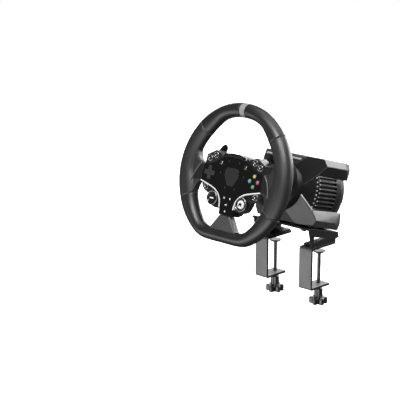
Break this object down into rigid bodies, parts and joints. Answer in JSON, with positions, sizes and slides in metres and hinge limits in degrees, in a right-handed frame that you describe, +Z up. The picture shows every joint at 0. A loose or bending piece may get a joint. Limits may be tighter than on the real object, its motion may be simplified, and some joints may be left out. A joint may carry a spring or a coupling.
{
  "type": "racing wheel",
  "caption": "Direct-drive racing wheel: flat-bottomed rim with a button hub, faceted motor base, and a bracket with two screw clamps for a table edge.",
  "frame": {"origin": "on the table's front edge at table-top height, midway between the two clamps", "axes": "+Z up, -Y towards the driver, +X to the driver's right"},
  "size_m": [0.28, 0.3073, 0.4218],
  "materials": {
    "rim_leather": "smooth",
    "grip_leather": "perforated",
    "band_leather": "smooth",
    "satin_plastic": "satin",
    "gloss_plastic": "gloss",
    "matt_plastic": "matt",
    "shell_plastic": "fine texture",
    "button_plastic": "satin",
    "bright_trim": "bright",
    "white_plastic": "gloss",
    "yellow_plastic": "gloss",
    "red_plastic": "gloss",
    "green_plastic": "gloss",
    "teal_plastic": "gloss",
    "black_metal": "anodised",
    "powder_steel": "powder coat",
    "bare_steel": "machined",
    "copper_windings": "enamelled wire",
    "circuit_board": "solder mask",
    "bare_aluminium": "cast"
  },
  "bodies": {
    "base": {"motor_housing": "black_metal", "stator": "copper_windings", "front_bearing": "bare_steel", "rear_bearing": "bare_steel", "rear_cover": "shell_plastic", "upper_shell": "shell_plastic", "lower_shell": "shell_plastic", "control_board": "circuit_board", "mount_bracket": "powder_steel", "clamp_frame_left": "powder_steel", "clamp_frame_right": "powder_steel"},
    "wheel": {"wheel_frame": "bare_aluminium", "rim_center_band": "band_leather", "rim_top_left": "rim_leather", "rim_top_right": "rim_leather", "rim_grip_left": "grip_leather", "rim_grip_right": "grip_leather", "rim_bottom": "rim_leather", "bottom_spoke_cover": "satin_plastic", "hub_front_panel": "gloss_plastic", "hub_housing": "matt_plastic", "hub_board": "circuit_board", "knob_pod_left": "matt_plastic", "knob_pod_right": "matt_plastic", "hub_trim_left": "bright_trim", "hub_trim_right": "bright_trim", "badge_plate": "satin_plastic", "rev_light_bar": "gloss_plastic", "wheel_adapter": "black_metal", "drive_shaft": "bare_steel", "rotor": "bare_steel"},
    "menu_button_left": {"menu_button_left": "white_plastic"},
    "menu_button_right": {"menu_button_right": "white_plastic"},
    "face_button_top": {"face_button_top": "yellow_plastic"},
    "face_button_right": {"face_button_right": "red_plastic"},
    "face_button_bottom": {"face_button_bottom": "green_plastic"},
    "face_button_left": {"face_button_left": "teal_plastic"},
    "stem_button_left": {"stem_button_left": "button_plastic"},
    "stem_button_right": {"stem_button_right": "button_plastic"},
    "stem_button_middle": {"stem_button_middle": "button_plastic"},
    "stem_button_lower": {"stem_button_lower": "button_plastic"},
    "ear_button_inner_left": {"ear_button_inner_left": "button_plastic"},
    "ear_button_outer_left": {"ear_button_outer_left": "button_plastic"},
    "ear_button_inner_right": {"ear_button_inner_right": "button_plastic"},
    "ear_button_outer_right": {"ear_button_outer_right": "button_plastic"},
    "pod_button_left": {"pod_button_left": "button_plastic"},
    "pod_button_right": {"pod_button_right": "button_plastic"},
    "home_button": {"home_button": "white_plastic"},
    "d_pad_pivot": {"d_pad_pivot": "bare_steel"},
    "d_pad": {"d_pad": "matt_plastic"},
    "knob_left": {"knob_left": "matt_plastic"},
    "knob_right": {"knob_right": "matt_plastic"},
    "paddle_left": {"paddle_left": "black_metal"},
    "paddle_right": {"paddle_right": "black_metal"},
    "release_collar": {"release_collar": "black_metal"},
    "power_button": {"power_button": "button_plastic"},
    "clamp_pad_left": {"clamp_pad_left": "powder_steel"},
    "clamp_pad_right": {"clamp_pad_right": "powder_steel"},
    "clamp_screw_left": {"clamp_screw_left": "powder_steel"},
    "clamp_screw_right": {"clamp_screw_right": "powder_steel"}
  },
  "joints": [
    {"name": "steering", "type": "hinge", "parent": "base", "child": "wheel", "pos_m": [0, -0.15, 0.1655], "axis": [0, 0.9659, -0.2588], "continuous": true},
    {"name": "menu_button_left_press", "type": "slide", "parent": "wheel", "child": "menu_button_left", "axis": [0, 0.9659, -0.2588], "range_m": [0, 0.001], "stiffness_N_per_m": 400, "springref_m": -0.001},
    {"name": "menu_button_right_press", "type": "slide", "parent": "wheel", "child": "menu_button_right", "axis": [0, 0.9659, -0.2588], "range_m": [0, 0.001], "stiffness_N_per_m": 400, "springref_m": -0.001},
    {"name": "face_button_top_press", "type": "slide", "parent": "wheel", "child": "face_button_top", "axis": [0, 0.9659, -0.2588], "range_m": [0, 0.001], "stiffness_N_per_m": 400, "springref_m": -0.001},
    {"name": "face_button_right_press", "type": "slide", "parent": "wheel", "child": "face_button_right", "axis": [0, 0.9659, -0.2588], "range_m": [0, 0.001], "stiffness_N_per_m": 400, "springref_m": -0.001},
    {"name": "face_button_bottom_press", "type": "slide", "parent": "wheel", "child": "face_button_bottom", "axis": [0, 0.9659, -0.2588], "range_m": [0, 0.001], "stiffness_N_per_m": 400, "springref_m": -0.001},
    {"name": "face_button_left_press", "type": "slide", "parent": "wheel", "child": "face_button_left", "axis": [0, 0.9659, -0.2588], "range_m": [0, 0.001], "stiffness_N_per_m": 400, "springref_m": -0.001},
    {"name": "stem_button_left_press", "type": "slide", "parent": "wheel", "child": "stem_button_left", "axis": [0, 0.9659, -0.2588], "range_m": [0, 0.001], "stiffness_N_per_m": 400, "springref_m": -0.001},
    {"name": "stem_button_right_press", "type": "slide", "parent": "wheel", "child": "stem_button_right", "axis": [0, 0.9659, -0.2588], "range_m": [0, 0.001], "stiffness_N_per_m": 400, "springref_m": -0.001},
    {"name": "stem_button_middle_press", "type": "slide", "parent": "wheel", "child": "stem_button_middle", "axis": [0, 0.9659, -0.2588], "range_m": [0, 0.001], "stiffness_N_per_m": 400, "springref_m": -0.001},
    {"name": "stem_button_lower_press", "type": "slide", "parent": "wheel", "child": "stem_button_lower", "axis": [0, 0.9659, -0.2588], "range_m": [0, 0.001], "stiffness_N_per_m": 400, "springref_m": -0.001},
    {"name": "ear_button_inner_left_press", "type": "slide", "parent": "wheel", "child": "ear_button_inner_left", "axis": [0, 0.9659, -0.2588], "range_m": [0, 0.001], "stiffness_N_per_m": 400, "springref_m": -0.001},
    {"name": "ear_button_outer_left_press", "type": "slide", "parent": "wheel", "child": "ear_button_outer_left", "axis": [0, 0.9659, -0.2588], "range_m": [0, 0.001], "stiffness_N_per_m": 400, "springref_m": -0.001},
    {"name": "ear_button_inner_right_press", "type": "slide", "parent": "wheel", "child": "ear_button_inner_right", "axis": [0, 0.9659, -0.2588], "range_m": [0, 0.001], "stiffness_N_per_m": 400, "springref_m": -0.001},
    {"name": "ear_button_outer_right_press", "type": "slide", "parent": "wheel", "child": "ear_button_outer_right", "axis": [0, 0.9659, -0.2588], "range_m": [0, 0.001], "stiffness_N_per_m": 400, "springref_m": -0.001},
    {"name": "pod_button_left_press", "type": "slide", "parent": "wheel", "child": "pod_button_left", "axis": [0, 0.9659, -0.2588], "range_m": [0, 0.001], "stiffness_N_per_m": 400, "springref_m": -0.001},
    {"name": "pod_button_right_press", "type": "slide", "parent": "wheel", "child": "pod_button_right", "axis": [0, 0.9659, -0.2588], "range_m": [0, 0.001], "stiffness_N_per_m": 400, "springref_m": -0.001},
    {"name": "home_button_press", "type": "slide", "parent": "wheel", "child": "home_button", "axis": [0, 0.9659, -0.2588], "range_m": [0, 0.001], "stiffness_N_per_m": 400, "springref_m": -0.001},
    {"name": "d_pad_tilt_up_down", "type": "hinge", "parent": "wheel", "child": "d_pad_pivot", "pos_m": [-0.0565, -0.15468, 0.16427], "axis": [1, 0, 0], "range_deg": [-5, 5], "stiffness_Nm_per_rad": 0.05},
    {"name": "d_pad_tilt_left_right", "type": "hinge", "parent": "d_pad_pivot", "child": "d_pad", "pos_m": [-0.0565, -0.15468, 0.16427], "axis": [0, 0.2588, 0.9659], "range_deg": [-5, 5], "stiffness_Nm_per_rad": 0.05},
    {"name": "knob_left_turn", "type": "hinge", "parent": "wheel", "child": "knob_left", "pos_m": [-0.0376, -0.16861, 0.11924], "axis": [0, 0.9659, -0.2588], "continuous": true},
    {"name": "knob_right_turn", "type": "hinge", "parent": "wheel", "child": "knob_right", "pos_m": [0.0376, -0.16861, 0.11924], "axis": [0, 0.9659, -0.2588], "continuous": true},
    {"name": "paddle_left_pull", "type": "hinge", "parent": "wheel", "child": "paddle_left", "pos_m": [-0.03, -0.12054, 0.15761], "axis": [0, 0.2588, 0.9659], "range_deg": [0, 5], "stiffness_Nm_per_rad": 0.6, "springref_deg": -5.73},
    {"name": "paddle_right_pull", "type": "hinge", "parent": "wheel", "child": "paddle_right", "pos_m": [0.03, -0.12054, 0.15761], "axis": [0, -0.2588, -0.9659], "range_deg": [0, 5], "stiffness_Nm_per_rad": 0.6, "springref_deg": -5.73},
    {"name": "release_collar_slide", "type": "slide", "parent": "wheel", "child": "release_collar", "axis": [0, -0.9659, 0.2588], "range_m": [0, 0.006], "stiffness_N_per_m": 900, "springref_m": -0.005},
    {"name": "power_button_press", "type": "slide", "parent": "base", "child": "power_button", "axis": [0, -0.9659, 0.2588], "range_m": [0, 0.001], "stiffness_N_per_m": 400, "springref_m": -0.001},
    {"name": "clamp_left_travel", "type": "slide", "parent": "base", "child": "clamp_pad_left", "axis": [0, 0, 1], "range_m": [-0.06, 0.004]},
    {"name": "clamp_left_screw_turn", "type": "hinge", "parent": "clamp_pad_left", "child": "clamp_screw_left", "pos_m": [-0.058, 0.039, -0.05], "axis": [0, 0, 1], "range_deg": [-14424, 991]},
    {"name": "clamp_right_travel", "type": "slide", "parent": "base", "child": "clamp_pad_right", "axis": [0, 0, 1], "range_m": [-0.06, 0.004]},
    {"name": "clamp_right_screw_turn", "type": "hinge", "parent": "clamp_pad_right", "child": "clamp_screw_right", "pos_m": [0.058, 0.039, -0.05], "axis": [0, 0, 1], "range_deg": [-14424, 991]}
  ],
  "couplings": [
    {"joint": "clamp_left_screw_turn", "follows": "clamp_left_travel", "rad_per_m": 4188.8},
    {"joint": "clamp_right_screw_turn", "follows": "clamp_right_travel", "rad_per_m": 4188.8}
  ]
}
